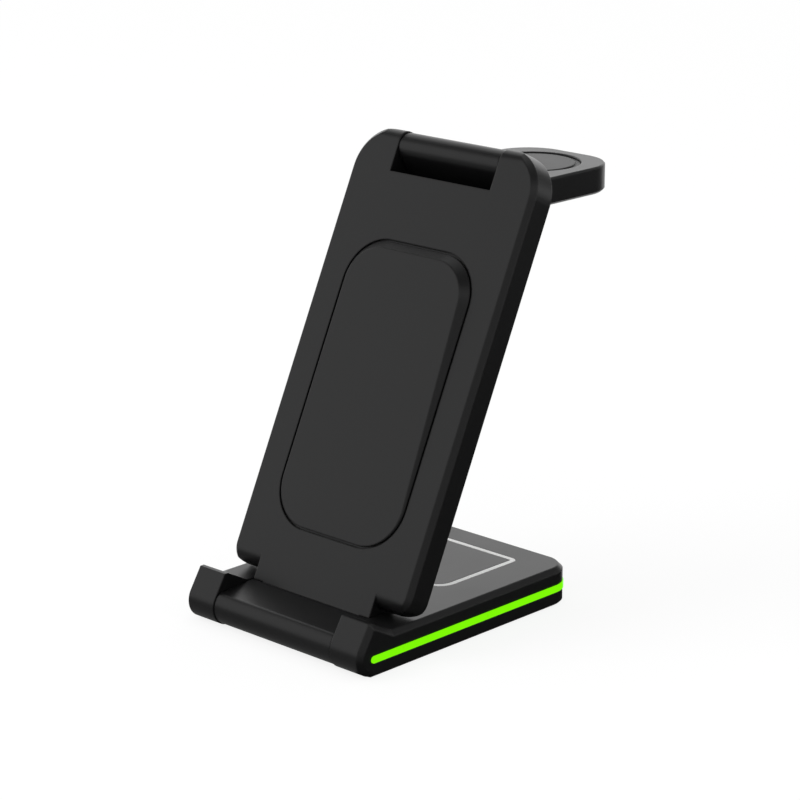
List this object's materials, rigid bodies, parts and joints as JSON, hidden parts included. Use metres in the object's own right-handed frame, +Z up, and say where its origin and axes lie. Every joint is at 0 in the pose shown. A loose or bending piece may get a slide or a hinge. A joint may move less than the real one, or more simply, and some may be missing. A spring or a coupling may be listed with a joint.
{
  "type": "wireless charging station",
  "caption": "Folding wireless charging station: flat earbud base with light strips, leaning phone panel with raised pad and a fold-over watch arm.",
  "frame": {"origin": "middle of the base's plan, on the table under the anti-slip mat", "axes": "+Z up, +Y to the back, +X to the right of someone facing the phone"},
  "size_m": [0.0786, 0.1417, 0.1484],
  "materials": {
    "base_plastic": "satin black moulded plastic, fine texture",
    "lip_plastic": "satin black moulded plastic, fine texture",
    "panel_plastic": "satin black moulded plastic, fine texture",
    "arm_plastic": "satin black moulded plastic, fine texture",
    "pad_plastic": "satin black, slightly smoother than the panel",
    "dish_plastic": "matte black, soft to the touch",
    "cover_plastic": "matte black moulded plastic",
    "silicone_mat": "matte dark grey silicone",
    "green_light": "milky light guide glowing green",
    "lamp_white": "small pale lamps",
    "white_line": "white line, matte",
    "board_green": "green circuit board lacquer",
    "chip_black": "black moulded packages",
    "socket_steel": "bright nickel-plated steel",
    "steel": "bright steel",
    "dark_steel": "black zinc-plated steel",
    "copper_wire": "lacquered copper wire",
    "ferrite": "dark grey ferrite sheet"
  },
  "bodies": {
    "base": {"base_top_shell": "base_plastic", "base_bottom_cover": "cover_plastic", "anti_slip_mat": "silicone_mat", "base_screws": "dark_steel", "light_strip_right": "green_light", "light_strip_left": "green_light", "side_lamps": "lamp_white", "lamp_boards": "board_green", "main_board": "board_green", "board_chips": "chip_black", "supply_socket": "socket_steel", "ballast_plate": "steel", "earbud_coil": "copper_wire", "earbud_shield": "ferrite", "earbud_outline": "white_line", "lip_pins": "steel"},
    "lip": {"lip_link": "lip_plastic", "lip_sleeves": "steel", "panel_pins": "steel"},
    "panel": {"panel_shell": "panel_plastic", "panel_back_cover": "cover_plastic", "panel_screws": "dark_steel", "panel_sleeves": "steel", "phone_pad": "pad_plastic", "phone_coil_lower": "copper_wire", "phone_coil_upper": "copper_wire", "phone_shield": "ferrite", "panel_board": "board_green", "arm_pins": "steel"},
    "watch_arm": {"arm_top_shell": "arm_plastic", "arm_bottom_cover": "cover_plastic", "arm_screws": "dark_steel", "watch_dish": "dish_plastic", "watch_coil": "copper_wire", "watch_magnet": "steel", "watch_shield": "ferrite", "arm_board": "board_green", "arm_sleeves": "steel"}
  },
  "joints": [
    {"name": "lip_fold", "type": "hinge", "parent": "base", "child": "lip", "pos_m": [0, -0.04325, 0.0065], "axis": [1, 0, 0], "range_deg": [0, 54.48]},
    {"name": "panel_fold", "type": "hinge", "parent": "lip", "child": "panel", "pos_m": [0, -0.02955, 0.00675], "axis": [-1, 0, 0], "range_deg": [0, 119.2]},
    {"name": "arm_fold", "type": "hinge", "parent": "panel", "child": "watch_arm", "pos_m": [0, 0.03484, 0.14333], "axis": [1, 0, 0], "range_deg": [0, 243]}
  ],
  "couplings": [
    {"joint": "lip_fold", "follows": "panel_fold", "ratio": 0.45703}
  ]
}
